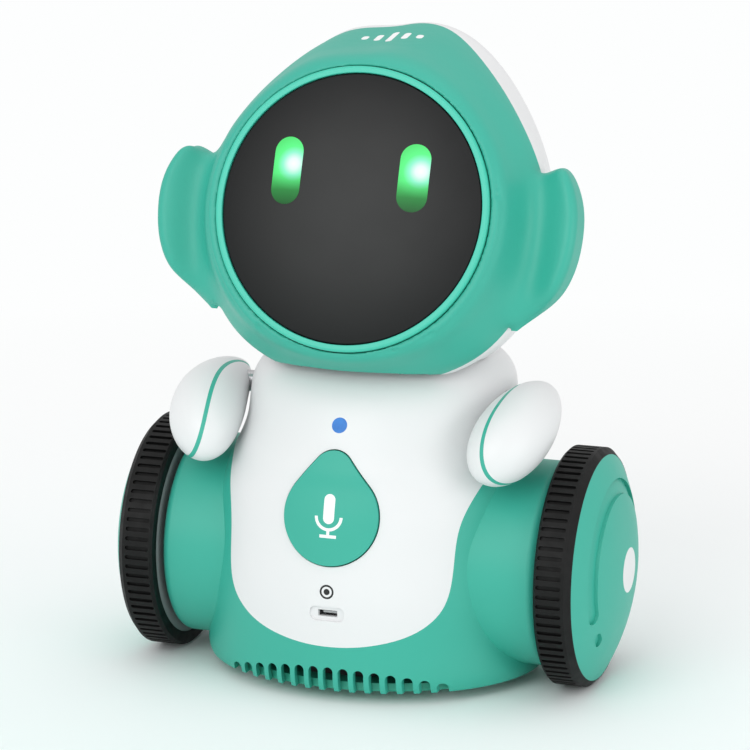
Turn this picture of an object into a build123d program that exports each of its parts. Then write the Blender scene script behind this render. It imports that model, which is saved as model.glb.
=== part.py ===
"""Desk robot on two wheels: a domed body, a hooded head with a round face, two arms and a chest button.

Millimetres. +Z is up, the face looks along -Y, and the robot's width runs along X. The origin lies on
the floor, midway between the wheels.
"""

import os
from math import acos, cos, hypot, pi, radians, sin, sqrt, tan

from build123d import *

os.makedirs("parts", exist_ok=True)

# Fits
seat_gap = 0.15  # between pieces that are clipped or screwed together
moving_gap = 0.35  # between pieces that move past each other
running_gap = 0.08  # round a shaft, on the radius

# Wheels
wheel_radius = 35.0
tyre_inner_face = 58.2
tyre_width = 9.2
tyre_depth = 4.0
tyre_bevel = 1.7
tread_slots = 78
tread_slot_length = 7.4
tread_slot_width = 1.25
tread_slot_depth = 0.9
hub_dome_height = 8.4
hub_wall = 2.0
hub_groove_radius = 24.2
hub_groove_width = 4.4
hub_groove_depth = 1.0
hub_groove_start = -20.0
hub_groove_end = 160.0
hub_mark_angle = -43.0
hub_mark_length = 5.0
hub_mark_width = 3.0
hub_disc_radius = 6.6
hub_disc_thickness = 1.2
rim_wall = 2.0
rim_hub_radius = 6.0

# Drive
axle_height = wheel_radius
axle_radius = 2.0
axle_inner_end = 42.0
bush_radius = 4.2
bush_flange_radius = 5.6
bush_flange_thickness = 0.9
gear_module = 0.8
gear_width = 4.0
gear_face = 46.2
gear_backlash = 0.14
axle_teeth = 30
pinion_teeth = 14
motor_radius = 9.5
motor_length = 24.0
motor_shaft_radius = 1.0
motor_nose_radius = 3.0
motor_nose_length = 1.2
gearbox_wall = 1.6
gearbox_clearance = 1.2
gearbox_floor_face = 42.6
gearbox_foot_width = 22.0

# Body
wall = 2.2
base_height = 3.4
base_half_width = 50.4
base_half_depth = 43.0
belly_height = 34.0
belly_half_width = 50.6
belly_half_depth = 45.0
waist_height = 67.0
shoulder_height = 86.0
shoulder_half_width = 39.0
shoulder_front = 30.2
body_top = 95.0
body_top_half_width = 27.0
pod_radius = 30.0
pod_half_length = 57.0
pod_edge = 2.4
body_seam = 8.0  # where the white front meets the white back
bib_half_width = 34.6
bib_bottom = 17.0

# Chest
button_height = 55.2
button_radius = 14.2
button_tip_radius = 6.0
button_tip_rise = 12.9
button_tilt = 12.3
button_proud = 0.8
button_flange = 1.6
button_flange_thickness = 1.2
button_travel = 1.0
button_post_radius = 3.0
icon_depth = 0.3
icon_height = 8.6
icon_width = 4.2
icon_cradle_radius = 4.2
icon_line = 0.9
icon_stem = 2.4
icon_foot = 5.0
status_light_height = 79.2
status_light_radius = 2.3
status_light_tilt = 30.0
port_height = 27.0
port_recess_width = 10.6
port_recess_height = 4.3
port_recess_depth = 0.9
port_width = 7.5
port_thickness = 2.7
port_length = 5.6
port_slot_width = 5.8
port_slot_height = 1.9

# Speaker slots along the front hem
hem_slots = 15
hem_slot_pitch = 4.5
hem_slot_width = 3.0
hem_slot_top = 10.8

# Base
base_thickness = 2.4
roller_radius = 5.2
roller_width = 6.0
roller_front = -20.0
roller_rear = 32.0
roller_pin_radius = 1.2
roller_cheek = 2.0
door_width = 38.0
door_depth = 34.0
door_centre = 5.0
battery_height = 15.0
screw_radius = 1.5
screw_head_radius = 2.7
screw_head_depth = 1.3
screw_length = 8.0
base_screw_x = 30.5
base_screw_y = 27.5

# Boards
board_thickness = 1.6
main_board_face = 28.5
main_board_width = 38.0
main_board_bottom = 29.5
main_board_top = 71.0
board_post_radius = 2.5
board_post_x = 16.2
board_post_low = 33.0
board_post_high = 67.5
switch_size = 6.0
switch_body = 3.0
switch_plunger_radius = 1.6
switch_plunger = 0.8
charge_board_width = 22.0
charge_board_length = 13.0
speaker_width = 28.0
speaker_height = 13.0
speaker_depth = 7.0

# Power switch in the back
power_height = 30.0
power_recess_width = 13.0
power_recess_height = 6.0
power_knob_width = 4.4
power_knob_height = 3.6
power_travel = 2.0
power_flange = 1.2
power_case_depth = 4.0
power_sink = 0.4

# Arms
arm_centre = (47.8, -10.6, 79.1)
arm_half_length = 25.3
arm_radius = 10.4
arm_taper = 0.32  # the hand is this share wider than the middle, and the shoulder end narrower
arm_slope = 15.6  # the hand hangs this far below level
arm_toe = 5.4  # and points this far inwards
arm_bow = 4.0  # both ends bend this far towards the body
arm_bow_roll = 51.0
arm_seam_roll = 25.0
arm_seam_line = (1.0, 2.2, -6.35, 0.6)  # how far out the stripe runs, as a cubic along the arm
arm_stripe_thickness = 1.2
arm_wall = 1.8
shoulder_reach = 13.0
shoulder_pin_radius = 3.2
shoulder_pin_inside = 6.4
shoulder_pin_tail = 3.0
shoulder_washer_radius = 5.4
shoulder_washer_thickness = 1.4

# Head
face_y = -24.0
face_z = 141.3
face_tilt = 17.04
lens_radius = 39.0
lens_sagitta = 4.6
lens_thickness = 2.4
ring_width = 2.0
ring_depth = 3.0
seam_depth = 20.0
head_depth = 68.0
head_wall = 2.2
hood_top = 51.6
hood_bottom = 48.4
hood_side = 52.3
seam_top_depth = 34.0  # the seam sweeps back above the ears, to this depth at the top
seam_crown = 1.11  # the dome's height above the middle there, in hood_top
seam_overrun = 1.5  # the sweep runs on past the surface, back and up, by these shares
seam_overrun_up = 1.2
ear_top = 17.4
ear_reach = 63.6
ear_bottom = -31.0
ear_lip_depth = 10.8
ear_dip_depth = 15.6
ear_rounding = 2.4
eye_spacing = 38.0
eye_rise = 9.5
eye_width = 8.8
eye_height = 19.5
eye_depth = 5.0
eye_board_radius = 33.0
eye_board_depth = 11.0
carrier_wall = 1.8
light_bar_lengths = (3.4, 5.8, 9.2, 5.8, 3.4)
light_bar_width = 2.0
light_bar_pitch = 4.2
light_bar_rise = 53.1
light_bar_depth = 22.7
light_bar_tilt = 82.0

# Neck
yaw_axis_y = 6.0
neck_gap = 1.0  # between the head's underside and the shoulders
head_floor = 96.9
floor_thickness = 2.2
collar_radius = 13.0
collar_wall = 2.0
collar_height = 5.6
retainer_width = 3.0
retainer_thickness = 1.4
servo_width = 12.2
servo_length = 23.0
servo_height = 20.0
servo_shaft_radius = 2.4
horn_radius = 9.0
horn_thickness = 1.8


# Working places that follow from the sizes above
gear_centres = gear_module * (axle_teeth + pinion_teeth) / 2
motor_height = axle_height + gear_centres
rim_radius = wheel_radius - tyre_depth
hub_face = tyre_inner_face + tyre_width + tyre_bevel
hub_radius = wheel_radius - tyre_bevel - 0.25
base_top = base_height + base_thickness
button_front = 42.1
face_up = Vector(0, sin(radians(face_tilt)), cos(radians(face_tilt)))
face_out = Vector(0, -cos(radians(face_tilt)), sin(radians(face_tilt)))
face_plane = Plane(origin=(0, face_y, face_z), x_dir=(1, 0, 0), z_dir=face_out)
ear_plane = Plane(origin=(0, face_y, face_z), x_dir=(1, 0, 0), z_dir=face_up)
arm_axis = Vector(
    -sin(radians(arm_toe)) * cos(radians(arm_slope)),
    -cos(radians(arm_toe)) * cos(radians(arm_slope)),
    -sin(radians(arm_slope)),
)
arm_level = Vector(cos(radians(arm_toe)), -sin(radians(arm_toe)), 0)
arm_rise = arm_axis.cross(arm_level)


def save(piece, name):
    """Labels a finished piece and writes it to its own file."""
    piece.label = name
    export_step(piece, f"parts/{name}.step")


def save_pair(piece, name):
    """Writes the right-hand piece and its mirror image."""
    save(piece, f"{name}_right")
    with BuildPart() as other:
        mirror(piece, about=Plane.YZ)
    save(other.part, f"{name}_left")


def x_plane(x, y=0.0, z=axle_height):
    """A plane square to the axle line, its local axes along Y and Z."""
    return Plane(origin=(x, y, z), x_dir=(0, 1, 0), z_dir=(1, 0, 0))


def arm_side(roll):
    """The direction out of the arm, square to its axis, rolled up by an angle."""
    return arm_level * cos(radians(roll)) + arm_rise * sin(radians(roll))


def arm_middle(share):
    """The middle of the arm's section, a share of its half length towards the hand."""
    straight = Vector(*arm_centre) + arm_axis * (arm_half_length * share)
    return straight - arm_side(arm_bow_roll) * (arm_bow * share**2)


shoulder = arm_middle(-shoulder_reach / arm_half_length)


# ---------------------------------------------------------------- body forms

body_rings = [
    # height, front, back, half width
    (base_height, base_half_depth, base_half_depth, base_half_width),
    (base_height + 5, belly_half_depth - 0.6, belly_half_depth - 0.6, belly_half_width + 0.4),
    (belly_height - 14, belly_half_depth - 0.4, belly_half_depth - 0.3, belly_half_width + 0.3),
    (belly_height, belly_half_depth, belly_half_depth, belly_half_width),
    (waist_height - 20, belly_half_depth - 1.4, belly_half_depth, belly_half_width - 1.4),
    (waist_height - 10, belly_half_depth - 3.0, belly_half_depth, belly_half_width - 3.4),
    (waist_height - 3, belly_half_depth - 4.8, belly_half_depth, shoulder_half_width + 4.6),
    (waist_height + 4, shoulder_front + 8.0, belly_half_depth, shoulder_half_width + 1.5),
    (shoulder_height - 8, shoulder_front + 4.4, belly_half_depth - 0.1, shoulder_half_width + 0.3),
    (shoulder_height, shoulder_front, belly_half_depth - 0.6, shoulder_half_width),
    (body_top - 4.6, shoulder_front - 4.6, belly_half_depth - 2.8, shoulder_half_width - 2.2),
    (body_top - 1.4, shoulder_front - 10.0, belly_half_depth - 7.0, shoulder_half_width - 5.8),
    (body_top, shoulder_front - 16.5, belly_half_depth - 13.0, body_top_half_width),
]


def body_form(inset):
    """The closed form of the body, set in from its outer surface by inset."""
    with BuildPart() as form:
        for height, front, back, half_width in body_rings:
            with BuildSketch(Plane.XY.offset(height)):
                with Locations((0, (back - front) / 2)):
                    Ellipse(half_width - inset, (front + back) / 2 - inset)
        loft()
        split(bisect_by=Plane.XY.offset(body_top - max(inset, 0)), keep=Keep.BOTTOM)
    return form.part


def pod_form(inset):
    """The drum round the axle that joins the body to both wheels."""
    with BuildPart() as form:
        with BuildSketch(x_plane(0)):
            Circle(pod_radius - inset)
        extrude(amount=pod_half_length - inset, both=True)
        if inset == 0:
            fillet(form.edges().filter_by(GeomType.CIRCLE), pod_edge)
    return form.part


body_outer = body_form(0)
body_inner = body_form(wall)
body_proud = body_form(-button_proud)
pod_outer = pod_form(0)
pod_inner = pod_form(wall)

bib_edge = (
    (0, bib_bottom),
    (bib_half_width - 19, bib_bottom + 1.7),
    (bib_half_width - 8.2, bib_bottom + 6.0),
    (bib_half_width - 3.0, belly_height - 5.5),
    (bib_half_width - 0.8, belly_height + 3),
    (bib_half_width + 0.6, waist_height - 14),
    (bib_half_width + 3.6, waist_height - 5.5),
    (bib_half_width + 7.4, waist_height),
)


def bib_zone(direction):
    """All that is white on one side of the body seam: the shoulder and the bib below it."""
    with BuildPart() as zone:
        with BuildSketch(Plane.XZ.offset(-body_seam)):
            with BuildLine():
                Spline(*bib_edge, tangents=((1, 0), (1, 0.9)))
                Polyline(
                    bib_edge[-1],
                    (pod_half_length, waist_height),
                    (pod_half_length, 2 * body_top),
                    (0, 2 * body_top),
                    bib_edge[0],
                )
            make_face()
            mirror(about=Plane.YZ)
        extrude(amount=2 * belly_half_depth, dir=(0, direction, 0))
    return zone.part


front_zone = bib_zone(-1)
back_zone = bib_zone(1)

with BuildPart() as body_skin:
    add(body_outer)
    add(body_inner, mode=Mode.SUBTRACT)


# ---------------------------------------------------------------- chest

button_plane = Plane(
    origin=(0, -button_front, button_height),
    x_dir=(1, 0, 0),
    z_dir=(0, -cos(radians(button_tilt)), sin(radians(button_tilt))),
)
light_plane = Plane(
    origin=(0, -shoulder_front - 2, status_light_height),
    x_dir=(1, 0, 0),
    z_dir=(0, -cos(radians(status_light_tilt)), sin(radians(status_light_tilt))),
)
front_plane = Plane.XZ.offset(belly_half_depth + 2)


def button_block(grow):
    """A prism of the button's egg outline, square to the button and grown on every side."""
    with BuildPart() as block:
        with BuildSketch(button_plane.offset(8)):
            with BuildLine():
                CenterArc((0, 0), button_radius + grow, 0, 360)
                CenterArc((0, button_tip_rise), button_tip_radius + grow, 0, 360)
            make_hull()
        extrude(amount=-20)
    return block.part


icon_rise = (icon_height - icon_width) / 2
with BuildPart() as icon_block:
    with BuildSketch(button_plane.offset(8)):
        Circle(icon_cradle_radius)
        Circle(icon_cradle_radius - icon_line, mode=Mode.SUBTRACT)
        with Locations((0, icon_cradle_radius / 2)):
            Rectangle(2 * icon_cradle_radius, icon_cradle_radius, mode=Mode.SUBTRACT)
        with Locations((0, icon_rise)):
            SlotOverall(icon_height, icon_width - icon_line, rotation=90)
        with Locations((0, -icon_cradle_radius - icon_stem / 2 + icon_line / 2)):
            Rectangle(icon_line, icon_stem)
        with Locations((0, -icon_cradle_radius - icon_stem + icon_line)):
            Rectangle(icon_foot, icon_line)
    extrude(amount=-20)

post_end = main_board_face + switch_body + switch_plunger + button_travel + moving_gap
button_back = body_form(wall + seat_gap + button_flange_thickness)
with BuildPart() as chest_button:
    add(button_block(button_flange))
    add(body_form(wall + moving_gap), mode=Mode.INTERSECT)
    with BuildPart(mode=Mode.PRIVATE) as button_cap:
        add(button_block(0))
        add(body_proud, mode=Mode.INTERSECT)
    add(button_cap.part)
    add(button_back, mode=Mode.SUBTRACT)
    with BuildSketch(button_plane.offset(-wall - moving_gap)):
        Circle(button_post_radius)
    extrude(amount=post_end - button_front + wall + moving_gap)
    add(icon_block.part, mode=Mode.SUBTRACT)
    with BuildPart(mode=Mode.PRIVATE) as icon_floor:
        add(button_block(0))
        add(body_form(icon_depth - button_proud), mode=Mode.INTERSECT)
        add(button_back, mode=Mode.SUBTRACT)
    add(icon_floor.part)
save(chest_button.part, "chest_button")

with BuildPart() as button_icon:
    add(icon_block.part)
    add(body_proud, mode=Mode.INTERSECT)
    add(chest_button.part, mode=Mode.SUBTRACT)
    add(body_outer, mode=Mode.SUBTRACT)
save(button_icon.part, "button_icon")

with BuildPart() as port_opening:
    with BuildSketch(front_plane):
        with Locations((0, port_height)):
            RectangleRounded(port_recess_width, port_recess_height, port_recess_height / 2 - 0.3)
    extrude(amount=-port_recess_depth - 2)
    with BuildSketch(front_plane):
        with Locations((0, port_height)):
            Rectangle(port_slot_width, port_slot_height)
    extrude(amount=-wall - 4)

with BuildPart() as light_block:
    with BuildSketch(light_plane.offset(8)):
        Circle(status_light_radius)
    extrude(amount=-8 - 2 * wall)

with BuildPart() as shoulder_bore:
    with BuildSketch(x_plane(-pod_half_length, shoulder.Y, shoulder.Z)):
        Circle(shoulder_pin_radius + running_gap)
    extrude(amount=2 * pod_half_length)

with BuildPart() as neck_bore:
    with BuildSketch(Plane.XY.offset(waist_height)):
        with Locations((0, yaw_axis_y)):
            Circle(servo_shaft_radius + moving_gap)
    extrude(amount=body_top)

board_post_places = [
    (x, z) for x in (-board_post_x, board_post_x) for z in (board_post_low, board_post_high)
]
with BuildPart() as board_posts:
    with BuildSketch(Plane.XZ.offset(main_board_face)):
        with Locations(*board_post_places):
            Circle(board_post_radius)
    extrude(amount=belly_half_depth - main_board_face)
    add(body_outer, mode=Mode.INTERSECT)

with BuildPart() as chest_panel:
    add(body_skin.part)
    add(board_posts.part)
    add(front_zone, mode=Mode.INTERSECT)
    add(button_block(moving_gap), mode=Mode.SUBTRACT)
    add(port_opening.part, mode=Mode.SUBTRACT)
    add(light_block.part, mode=Mode.SUBTRACT)
    add(shoulder_bore.part, mode=Mode.SUBTRACT)
    add(neck_bore.part, mode=Mode.SUBTRACT)
save(chest_panel.part, "chest_panel")

with BuildPart() as status_light:
    add(light_block.part)
    add(body_outer, mode=Mode.INTERSECT)
save(status_light.part, "status_light")


# ---------------------------------------------------------------- back and lower shells

back_plane = Plane.XZ.offset(-belly_half_depth - 2)
with BuildPart() as back_shell:
    add(body_skin.part)
    add(back_zone, mode=Mode.INTERSECT)
    add(neck_bore.part, mode=Mode.SUBTRACT)
    with BuildSketch(back_plane):
        with Locations((0, power_height)):
            RectangleRounded(power_recess_width, power_recess_height, 1)
    extrude(amount=3, mode=Mode.SUBTRACT)
    with BuildSketch(back_plane):
        with Locations((0, power_height)):
            Rectangle(
                power_knob_width + 2 * power_travel + 2 * moving_gap,
                power_knob_height + 2 * moving_gap,
            )
    extrude(amount=10, mode=Mode.SUBTRACT)
save(back_shell.part, "back_shell")

power_face = belly_half_depth - wall - 4 * moving_gap
knob_room = power_knob_width + 2 * power_travel
with BuildPart() as power_switch_knob:
    with BuildSketch(Plane.XZ.offset(-belly_half_depth + power_sink)):
        with Locations((0, power_height)):
            Rectangle(power_knob_width, power_knob_height)
    extrude(amount=belly_half_depth - power_sink - power_face)
    with BuildSketch(Plane.XZ.offset(-power_face)):
        with Locations((0, power_height)):
            Rectangle(knob_room + 2 * power_travel, power_knob_height + power_flange)
    extrude(amount=power_flange)
save(power_switch_knob.part, "power_switch_knob")

with BuildPart() as power_switch_case:
    with BuildSketch(Plane.XZ.offset(-power_face)):
        with Locations((0, power_height)):
            Rectangle(knob_room + 6 * power_travel, power_knob_height + 5 * power_flange)
    extrude(amount=power_case_depth)
    with BuildSketch(Plane.XZ.offset(-power_face)):
        with Locations((0, power_height)):
            Rectangle(knob_room + 4.5 * power_travel, power_knob_height + 2 * power_flange)
    extrude(amount=power_flange + moving_gap, mode=Mode.SUBTRACT)
save(power_switch_case.part, "power_switch_case")

hem_reach = hem_slot_pitch * (hem_slots + 3) / 2
with BuildPart() as hem_cutter:
    for place in range(hem_slots):
        across = hem_slot_pitch * (place - (hem_slots - 1) / 2)
        top = base_height + (hem_slot_top - base_height) * (1 - (across / hem_reach) ** 2)
        with BuildSketch(Plane.XZ.offset(base_half_width / 2)):
            with Locations((across, base_height)):
                SlotOverall(2 * (top - base_height), hem_slot_width, rotation=90)
        extrude(amount=belly_half_depth)

base_screw_places = [(x, y) for x in (-base_screw_x, base_screw_x) for y in (-base_screw_y, base_screw_y)]
boss_radius = screw_radius + 1.5 * wall
with BuildPart() as lower_shell:
    add(body_outer)
    add(front_zone, mode=Mode.SUBTRACT)
    add(back_zone, mode=Mode.SUBTRACT)
    add(pod_outer)
    add(body_inner, mode=Mode.SUBTRACT)
    add(pod_inner, mode=Mode.SUBTRACT)
    add(hem_cutter.part, mode=Mode.SUBTRACT)
    with BuildSketch(x_plane(-pod_half_length)):
        Circle(bush_radius)
    extrude(amount=2 * pod_half_length, mode=Mode.SUBTRACT)
    with BuildSketch(Plane.XY.offset(base_top)):
        with Locations(*base_screw_places):
            Circle(boss_radius)
            Circle(screw_radius, mode=Mode.SUBTRACT)
    extrude(amount=screw_length)
save(lower_shell.part, "lower_shell")


# ---------------------------------------------------------------- base, casters and battery

base_plane = Plane.XY.offset(base_height)
roller_places = [(0, roller_front), (0, roller_rear)]
roller_height = roller_radius + moving_gap
roller_slot = roller_width + 2 * moving_gap
with BuildPart() as base_plate:
    with BuildSketch(base_plane):
        Ellipse(base_half_width - wall - seat_gap, base_half_depth - wall - seat_gap)
        with Locations(*roller_places):
            Rectangle(roller_slot, 2 * roller_radius + 2 * moving_gap, mode=Mode.SUBTRACT)
        with Locations((0, door_centre)):
            Rectangle(door_width - 4, door_depth - 4, mode=Mode.SUBTRACT)
    extrude(amount=base_thickness)
    with BuildSketch(base_plane):
        with Locations((0, door_centre)):
            Rectangle(door_width, door_depth)
    extrude(amount=board_thickness, mode=Mode.SUBTRACT)
    with BuildSketch(base_plane.offset(base_thickness)):
        with Locations(*roller_places):
            Rectangle(roller_slot + 2 * roller_cheek, 4 * roller_pin_radius + 2)
            Rectangle(roller_slot, 4 * roller_pin_radius + 2, mode=Mode.SUBTRACT)
    extrude(amount=roller_height + 2 * roller_pin_radius - base_top)
    for x, y in roller_places:
        with BuildSketch(x_plane(-base_half_width, y, roller_height)):
            Circle(roller_pin_radius)
        extrude(amount=2 * base_half_width, mode=Mode.SUBTRACT)
    with BuildSketch(base_plane):
        with Locations(*base_screw_places):
            Circle(screw_radius)
    extrude(amount=base_thickness, mode=Mode.SUBTRACT)
    with BuildSketch(base_plane):
        with Locations(*base_screw_places):
            Circle(screw_head_radius)
    extrude(amount=screw_head_depth, mode=Mode.SUBTRACT)
save(base_plate.part, "base_plate")

for place, (x, y) in zip(("front", "rear"), roller_places):
    with BuildPart() as roller:
        with BuildSketch(x_plane(-roller_width / 2, y, roller_height)):
            Circle(roller_radius)
            Circle(roller_pin_radius + running_gap, mode=Mode.SUBTRACT)
        extrude(amount=roller_width)
        fillet(roller.edges().filter_by(GeomType.CIRCLE).sort_by(SortBy.RADIUS)[-2:], 1.2)
    save(roller.part, f"caster_roller_{place}")

with BuildPart() as caster_pins:
    for x, y in roller_places:
        with BuildSketch(x_plane(-roller_slot / 2 - roller_cheek, y, roller_height)):
            Circle(roller_pin_radius)
        extrude(amount=roller_slot + 2 * roller_cheek)
save(caster_pins.part, "caster_pins")

with BuildPart() as base_screws:
    with BuildSketch(base_plane):
        with Locations(*base_screw_places):
            Circle(screw_head_radius)
    extrude(amount=screw_head_depth)
    with BuildSketch(base_plane):
        with Locations(*base_screw_places):
            Circle(screw_radius)
    extrude(amount=screw_length)
save(base_screws.part, "base_screws")

with BuildPart() as battery_door:
    with BuildSketch(base_plane):
        with Locations((0, door_centre)):
            RectangleRounded(door_width - 2 * seat_gap, door_depth - 2 * seat_gap, 1)
    extrude(amount=board_thickness)
save(battery_door.part, "battery_door")

with BuildPart() as battery_pack:
    with BuildSketch(base_plane.offset(board_thickness + seat_gap)):
        with Locations((0, door_centre)):
            Rectangle(door_width - 4 - 2 * seat_gap, door_depth - 4 - 2 * seat_gap)
    extrude(amount=battery_height)
    fillet(battery_pack.edges().filter_by(Axis.Z), 3)
save(battery_pack.part, "battery_pack")

with BuildPart() as speaker:
    speaker_back = base_half_depth - wall - speaker_depth - 6
    with BuildSketch(Plane.XZ.offset(speaker_back)):
        with Locations((0, base_top + speaker_height / 2)):
            RectangleRounded(speaker_width, speaker_height, speaker_height / 2 - 0.5)
    extrude(amount=speaker_depth)
save(speaker.part, "speaker")


# ---------------------------------------------------------------- boards behind the chest

with BuildPart() as main_board:
    with BuildSketch(Plane.XZ.offset(main_board_face - board_thickness)):
        with Locations((0, (main_board_bottom + main_board_top) / 2)):
            RectangleRounded(main_board_width, main_board_top - main_board_bottom, 2)
    extrude(amount=board_thickness)
    with BuildSketch(Plane.XZ.offset(main_board_face - board_thickness)):
        with Locations((-10, main_board_top - 10)):
            Rectangle(10, 10)
        with Locations((10, main_board_top - 10)):
            Rectangle(8, 4)
    extrude(amount=-1.4)
save(main_board.part, "main_board")

with BuildPart() as button_switch:
    with BuildSketch(Plane.XZ.offset(main_board_face)):
        with Locations((0, button_height)):
            Rectangle(switch_size, switch_size)
    extrude(amount=switch_body)
    with BuildSketch(Plane.XZ.offset(main_board_face + switch_body)):
        with Locations((0, button_height)):
            Circle(switch_plunger_radius)
    extrude(amount=switch_plunger)
save(button_switch.part, "button_switch")

port_face = belly_half_depth - port_recess_depth - wall
with BuildPart() as usb_socket:
    with BuildSketch(Plane.XZ.offset(port_face - port_length)):
        with Locations((0, port_height)):
            RectangleRounded(port_width, port_thickness, 0.9)
    extrude(amount=port_length)
    with BuildSketch(Plane.XZ.offset(port_face)):
        with Locations((0, port_height)):
            Rectangle(port_slot_width, port_slot_height)
            with Locations((0, -0.2)):
                Rectangle(port_slot_width - 1.6, 0.6, mode=Mode.SUBTRACT)
    extrude(amount=-port_length + 1, mode=Mode.SUBTRACT)
save(usb_socket.part, "usb_socket")

with BuildPart() as charge_board:
    with BuildSketch(Plane.XY.offset(port_height - port_thickness / 2 - board_thickness)):
        with Locations((0, -port_face + charge_board_length / 2 + port_recess_depth)):
            Rectangle(charge_board_width, charge_board_length)
    extrude(amount=board_thickness)
save(charge_board.part, "charge_board")


# ---------------------------------------------------------------- wheels

wheel_plane = Plane(origin=(0, 0, axle_height), x_dir=(1, 0, 0), z_dir=(0, -1, 0))
axle_line = Axis((0, 0, axle_height), (1, 0, 0))
dome_radius = (hub_radius**2 + hub_dome_height**2) / (2 * hub_dome_height)
dome_centre = hub_face + hub_dome_height - dome_radius
tyre_middle = tyre_inner_face + tyre_width / 2


def hub_dome(inset):
    """The wheel cover's domed form above the tyre's face, its dome set in by inset."""
    radius = dome_radius - inset
    reach = sqrt(radius**2 - (hub_face - dome_centre) ** 2)
    middle = (dome_centre + radius * cos(0.5 * reach / radius), radius * sin(0.5 * reach / radius))
    with BuildPart() as dome:
        with BuildSketch(wheel_plane):
            with BuildLine():
                Line((hub_face, 0), (hub_face, reach))
                ThreePointArc((hub_face, reach), middle, (dome_centre + radius, 0))
                Line((dome_centre + radius, 0), (hub_face, 0))
            make_face()
        revolve(axis=axle_line)
    return dome.part


with BuildPart() as tread_cutter:
    with BuildSketch(Plane(origin=(1, 0, 0), x_dir=(0, 0, 1), z_dir=(1, 0, 0))):
        SlotOverall(tread_slot_length, tread_slot_width)
    extrude(amount=-1 - tread_slot_depth)

with BuildPart(x_plane(tyre_middle)) as tyre:
    with BuildSketch(wheel_plane):
        with BuildLine():
            Polyline(
                (tyre_inner_face, rim_radius),
                (tyre_inner_face, wheel_radius - tyre_bevel / 2),
                (tyre_inner_face + tyre_bevel / 2, wheel_radius),
                (tyre_inner_face + tyre_width, wheel_radius),
                (hub_face, hub_radius + 0.2),
                (hub_face, rim_radius),
                close=True,
            )
        make_face()
    revolve(axis=axle_line)
    with PolarLocations(wheel_radius, tread_slots):
        add(tread_cutter.part, mode=Mode.SUBTRACT)
save_pair(tyre.part, "tyre")

rim_face = tyre_inner_face + moving_gap
with BuildPart() as rim:
    with BuildSketch(wheel_plane):
        with BuildLine():
            Polyline(
                (rim_face, axle_radius),
                (rim_face, rim_radius),
                (hub_face, rim_radius),
                (hub_face, rim_radius - rim_wall),
                (rim_face + rim_wall, rim_radius - rim_wall),
                (rim_face + rim_wall, rim_hub_radius),
                (hub_face - 1, rim_hub_radius),
                (hub_face - 1, axle_radius),
                close=True,
            )
        make_face()
    revolve(axis=axle_line)
save_pair(rim.part, "wheel_rim")

cover_skin = hub_dome(0) - hub_dome(hub_wall)
groove_floor = hub_dome(hub_groove_depth)
with BuildPart() as hub_cover:
    add(cover_skin)
    with BuildSketch(x_plane(hub_face - 3)):
        Circle(rim_radius - rim_wall - seat_gap)
        Circle(rim_radius - 2 * rim_wall, mode=Mode.SUBTRACT)
    extrude(amount=3 + hub_wall)
    with BuildSketch(x_plane(hub_face + hub_dome_height)):
        with BuildLine():
            groove_arc = CenterArc(
                (0, 0), hub_groove_radius, 180 - hub_groove_end, hub_groove_end - hub_groove_start
            )
        SlotArc(groove_arc, hub_groove_width)
        with PolarLocations(hub_groove_radius, 1, 180 - hub_mark_angle):
            SlotOverall(hub_mark_length, hub_mark_width, rotation=90)
        Circle(hub_disc_radius)
    extrude(amount=-hub_dome_height, mode=Mode.SUBTRACT)
    with BuildPart(mode=Mode.PRIVATE) as cover_floor:
        add(groove_floor)
        add(hub_dome(hub_wall), mode=Mode.SUBTRACT)
    add(cover_floor.part)
save_pair(hub_cover.part, "hub_cover")

with BuildPart() as hub_disc:
    with BuildSketch(x_plane(hub_face)):
        Circle(hub_disc_radius)
    extrude(amount=2 * hub_dome_height)
    add(hub_dome(0), mode=Mode.INTERSECT)
    add(groove_floor, mode=Mode.SUBTRACT)
save_pair(hub_disc.part, "hub_disc")


# ---------------------------------------------------------------- drive train

def gear_outline(teeth, first):
    """The corner points of a spur gear with stub teeth, its first tooth at the angle first, in degrees."""
    pitch = gear_module * teeth / 2
    base = pitch * cos(radians(20))
    root = pitch - 1.05 * gear_module
    tip = pitch + 0.8 * gear_module
    involute = lambda radius: tan(acos(min(1, base / radius))) - acos(min(1, base / radius))
    half = pi / (2 * teeth) - gear_backlash / (2 * pitch)
    flank = []
    for radius in (root, pitch - 0.35 * gear_module, pitch, pitch + 0.4 * gear_module, tip):
        flank.append((radius, half + involute(pitch) - involute(radius)))
    points = []
    for tooth in range(teeth):
        middle = radians(first) + 2 * pi * tooth / teeth
        for side, row in ((-1, flank), (1, flank[::-1])):
            for radius, angle in row:
                turn = middle + side * angle
                points.append((radius * cos(turn), radius * sin(turn)))
    return points


with BuildPart() as axle_gear:
    with BuildSketch(x_plane(gear_face)):
        Polygon(*gear_outline(axle_teeth, 90), align=None)
    extrude(amount=gear_width)
    with BuildSketch(x_plane(axle_inner_end)):
        Circle(axle_radius)
    extrude(amount=hub_face + 1 - axle_inner_end)
save_pair(axle_gear.part, "axle_gear")

with BuildPart() as motor_pinion:
    with BuildSketch(x_plane(gear_face, z=motor_height)):
        Polygon(*gear_outline(pinion_teeth, -90 + 180 / pinion_teeth), align=None)
    extrude(amount=gear_width)
    with BuildSketch(x_plane(gearbox_floor_face - 8, z=motor_height)):
        Circle(motor_shaft_radius)
    extrude(amount=gear_face - gearbox_floor_face + 8)
save_pair(motor_pinion.part, "motor_pinion")

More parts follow.
